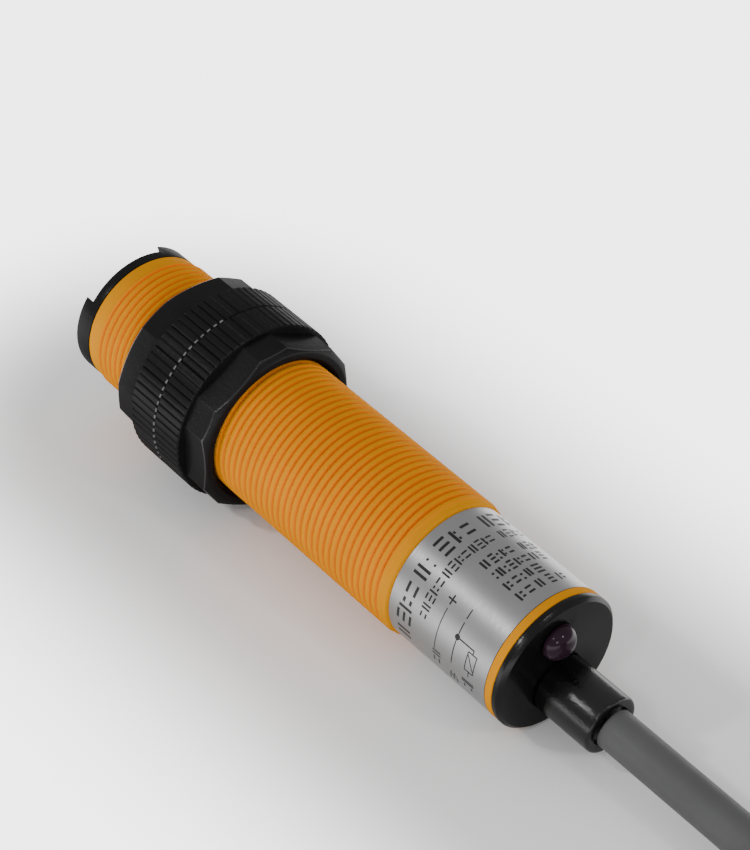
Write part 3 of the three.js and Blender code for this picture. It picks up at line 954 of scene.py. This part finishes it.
def make_boot():
    start = 67.6
    bore = CABLE_RADIUS + 0.05
    bore_floor = BOOT_END - 0.6
    outline = [
        (start, 0),
        (start, BOOT_NECK_RADIUS),
        (CAP_FOOT, BOOT_NECK_RADIUS),
        (CAP_FOOT, BOOT_RADIUS - 0.08),
        (CAP_FOOT + 0.08, BOOT_RADIUS),
    ]
    outline += rounded([
        (BOOT_END - 2.0, BOOT_RADIUS),
        (BOOT_END, BOOT_RADIUS),
        (BOOT_END, bore),
        (bore_floor, bore),
    ], 0.45, 6)
    outline.append((bore_floor, 0))
    shape = turned(outline, 96, BOOT_OFFSET, REAR_CLOCK)
    finish_mesh(
        "strain_relief_boot", shape, SENSOR, [boot_rubber], "sensor",
        sharp=40, replaces=["strain_relief"],
    )


make_cap()
make_indicator()
make_boot()


# Cable, in the scene's own axes

CABLE_ROUTE = [
    (42.1, 0.45, 5.1),
    (44, 0.45, 4.98),
    (46, 0.45, 4.86),
    (48.5, 0.45, 4.7),
    (51, 0.45, 4.54),
    (54, 0.45, 4.36),
    (57, 0.45, 4.17),
    (60, 0.45, 3.98),
    (62, 0.48, 3.85),
    (64, 0.56, 3.73),
    (66, 0.81, 3.6),
    (68, 1.22, 3.46),
    (70, 1.81, 3.31),
    (72.2, 2.68, 3.13),
    (74.2, 3.69, 2.95),
    (76.2, 4.94, 2.77),
    (78.4, 6.65, 2.6),
    (81.0, 9.3, 2.46),
]


def run_offset(x):
    """Distance of a run's centre line from the hank's middle."""
    if x < WAIST_START:
        drawn_in = smooth_step((x - NEAR_FOLD_X) / (WAIST_START - NEAR_FOLD_X))
    else:
        drawn_in = smooth_step((FAR_FOLD_X - x) / (FAR_FOLD_X - WAIST_END))
    return FOLD_RADIUS + (WAIST_OFFSET - FOLD_RADIUS) * drawn_in


def over_tie(x):
    """How far the tie's strip lifts the runs off the surface."""
    near = smooth_step((x - WAIST_START + TIE_RAMP) / TIE_RAMP)
    far = smooth_step((WAIST_END + TIE_RAMP - x) / TIE_RAMP)
    return (TIE_THICKNESS + 0.1) * near * far


def run_points(start, end, side, height):
    steps = max(2, round(abs(end - start) / 2))
    points = []
    for i in range(steps):
        x = start + (end - start) * i / steps
        points.append((x, side * run_offset(x), height + over_tie(x)))
    return points


def fold_points(centre, start, end, height, climb=0.0):
    """An arc of one fold, in degrees. It climbs to the next layer between 270 and 150 degrees."""
    steps = round(abs(end - start) / 7.5)
    points = []
    for i in range(steps):
        angle = start + (end - start) * i / steps
        rise = climb * smooth_step((270 - angle) / 120)
        around = math.radians(angle)
        points.append((
            centre + FOLD_RADIUS * math.cos(around),
            FOLD_RADIUS * math.sin(around),
            height + rise,
        ))
    return points


def hank_points():
    """The hank's layers, from where the route comes in on the near fold to the jacket's end."""
    route_joins = 132
    points = fold_points(NEAR_FOLD_X, route_joins, 90, CABLE_RADIUS)
    for layer in range(LAYERS):
        height = CABLE_RADIUS + LAYER_HEIGHT * layer
        last = layer == LAYERS - 1
        points += run_points(NEAR_FOLD_X, FAR_FOLD_X, 1, height)
        points += fold_points(FAR_FOLD_X, 90, -90, height)
        points += run_points(FAR_FOLD_X, JACKET_END_X if last else NEAR_FOLD_X, -1, height)
        if not last:
            points += fold_points(NEAR_FOLD_X, 270, 90, height, LAYER_HEIGHT)
    points.append((JACKET_END_X, -run_offset(JACKET_END_X), height + over_tie(JACKET_END_X)))
    return points


def make_cable():
    path = [*through(CABLE_ROUTE, 1.0), *[Vector(p) for p in hank_points()]]
    piece = finish_mesh(
        "cable_jacket", tube(path, CABLE_RADIUS, 24), MILLIMETRES, [grey_pvc], "sensor",
        sharp=40, replaces=["cable", "cable_hank"],
    )
    return piece, [tuple(p * MM) for p in path]


def make_far_core(color, look, side):
    """A stripped core lying on the layer below, side being where it lies: -1, 0 or 1."""
    core_radius = 0.6
    copper_radius = 0.32
    core_length = 25
    top = CABLE_RADIUS + LAYER_HEIGHT * (LAYERS - 1)
    bed = top - LAYER_HEIGHT + CABLE_RADIUS + core_radius + 0.02
    around_cable = CABLE_RADIUS + core_radius
    steps = 13
    path = []
    for i in range(steps + 1):
        x = JACKET_END_X + 1.0 - core_length * i / steps
        settle = smooth_step(i / 5)
        aside = side * min(1.15 + 0.1 * i, 1.6)
        flank = math.sqrt(around_cable**2 - aside**2) - around_cable
        height = top + (bed + flank - top) * settle + over_tie(x)
        path.append(Vector((x, -run_offset(x) + aside, height)))
    shape = tube(path, core_radius, 14)
    onward = path[-1] - path[-2]
    copper = [path[-1] + onward * t for t in (-0.3, 0.8, 1.6, 2.4)]
    shape.add(tube(copper, copper_radius, 12), look=1)
    return finish_mesh(
        f"stripped_core_{color}", shape, MILLIMETRES, [look, bare_copper], "sensor",
        sharp=40, replaces=[f"far_core_{color}"],
    )


def make_tie():
    """A flat strap round the hank's waist."""
    half_width = WAIST_OFFSET + CABLE_RADIUS + 0.1
    top = CABLE_RADIUS * 2 + LAYER_HEIGHT * (LAYERS - 1) + TIE_THICKNESS + 0.1
    low = TIE_THICKNESS
    corner = 1.6
    loop = []
    for centre, start in (
        ((half_width - corner, low + corner), -90),
        ((half_width - corner, top - corner), 0),
        ((-half_width + corner, top - corner), 90),
        ((-half_width + corner, low + corner), 180),
    ):
        for turn in range(0, 91, 15):
            loop.append((*centre, math.radians(start + turn)))
    half = TIE_WIDTH / 2
    sections = []
    for y, z, angle in loop:
        section = []
        for out, along in ((0, -half), (0, half), (TIE_THICKNESS, half), (TIE_THICKNESS, -half)):
            reach = corner + out
            section.append((TIE_X + along, y + reach * math.cos(angle), z + reach * math.sin(angle)))
        sections.append(section)
    shape = Shape()
    shape.rows(sections, closed=True)
    return finish_mesh(
        "hank_strap", shape, MILLIMETRES, [black_plastic], "sensor",
        replaces=["hank_tie"],
    )


cable, cable_path = make_cable()
on_cable = [
    make_far_core("brown", brown_insulation, 1),
    make_far_core("blue", blue_insulation, 0),
    make_far_core("black", black_insulation, -1),
    make_tie(),
]


# Finishes of the pieces inside, which keep their CAD shapes

INSIDE = {
    "optics_holder": black_plastic,
    "emitter_diode": clear_epoxy,
    "receiver_diode": chip_black,
    "circuit_board": green_laminate,
    "controller_chip": chip_black,
    "voltage_regulator": chip_black,
    "output_transistor": chip_black,
    "protection_diode": chip_black,
    "filter_capacitor": tinned_metal,
    "bypass_capacitor": ceramic_tan,
    "timing_capacitor": ceramic_tan,
    "gain_resistor": chip_black,
    "bias_resistor": chip_black,
    "output_resistor": chip_black,
    "indicator_diode": dark_red_lens,
    "potting_plug": black_resin,
    "core_brown": brown_insulation,
    "core_blue": blue_insulation,
    "core_black": black_insulation,
}

for name, look in INSIDE.items():
    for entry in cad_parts[name].material_slots:
        entry.material = look


# Floor and lights, in metres

FLOOR_REACH = 3.0

# The paper glows and lights the sensor, except near the middle line of the sensor and its cable, where
# the missing glow is a painted shadow.
GLOW_MIDDLE_X = 0.075
GLOW_HALF_LENGTH = 0.11
GLOW_START = 0.016
GLOW_FULL = 0.05
GLOW_STRENGTH = 3.2


def make_floor():
    mesh = bpy.data.meshes.new("floor")
    corners = [(x * FLOOR_REACH, y * FLOOR_REACH, 0) for x, y in ((-1, -1), (1, -1), (1, 1), (-1, 1))]
    mesh.from_pydata(corners, [], [(0, 1, 2, 3)])
    material, nodes, links, principled = shader("glowing_floor_painted_shadow")
    coords = nodes.new("ShaderNodeTexCoord").outputs["Object"]
    tone = spread(nodes, links, noise(nodes, links, coords, 60), 0.6, 0.7)
    links.new(tone, principled.inputs["Roughness"])
    principled.inputs["Base Color"].default_value = (0.93, 0.93, 0.93, 1)
    principled.inputs["Emission Color"].default_value = (1, 1, 1, 1)
    apart = nodes.new("ShaderNodeSeparateXYZ")
    links.new(coords, apart.inputs["Vector"])
    along = maths(nodes, links, "SUBTRACT", apart.outputs["X"], GLOW_MIDDLE_X)
    past_middle = maths(nodes, links, "ABSOLUTE", along)
    beyond = maths(nodes, links, "SUBTRACT", past_middle, GLOW_HALF_LENGTH)
    past_end = maths(nodes, links, "MAXIMUM", beyond, 0)
    squares = [maths(nodes, links, "POWER", value, 2) for value in (past_end, apart.outputs["Y"])]
    apart_from = maths(nodes, links, "SQRT", maths(nodes, links, "ADD", *squares))
    # No glow near the sensor, full glow further out: a painted shadow round the sensor and its cable.
    glow = nodes.new("ShaderNodeMapRange")
    glow.interpolation_type = "SMOOTHSTEP"
    glow.inputs["From Min"].default_value = GLOW_START
    glow.inputs["From Max"].default_value = GLOW_FULL
    glow.inputs["To Min"].default_value = 0
    glow.inputs["To Max"].default_value = GLOW_STRENGTH
    links.new(apart_from, glow.inputs["Value"])
    links.new(glow.outputs["Result"], principled.inputs["Emission Strength"])
    mesh.materials.append(material)
    floor = bpy.data.objects.new("floor", mesh)
    bpy.context.scene.collection.objects.link(floor)


def add_light(name, power, size, place):
    """A square lamp that faces the sensor's middle."""
    data = bpy.data.lights.new(name, "AREA")
    data.energy = power
    data.size = size
    lamp = bpy.data.objects.new(name, data)
    lamp.location = place
    lamp.rotation_euler = (Vector((0, 0, 0.01)) - Vector(place)).to_track_quat("-Z", "Y").to_euler()
    bpy.context.scene.collection.objects.link(lamp)


make_floor()
world = bpy.data.worlds.new("studio")
world.use_nodes = True
world.node_tree.nodes["Background"].inputs["Color"].default_value = (1, 1, 1, 1)
world.node_tree.nodes["Background"].inputs["Strength"].default_value = 0.8
bpy.context.scene.world = world
add_light("key", 0.75, 0.04, (-0.25, -0.37, 0.41))
add_light("rear_left", 0.4, 0.06, (0.17, -0.4, 0.45))
add_light("rear_right", 0.4, 0.06, (0.48, 0.1, 0.4))
add_light("behind_camera", 0.35, 0.08, (0.45, -0.27, 0.22))
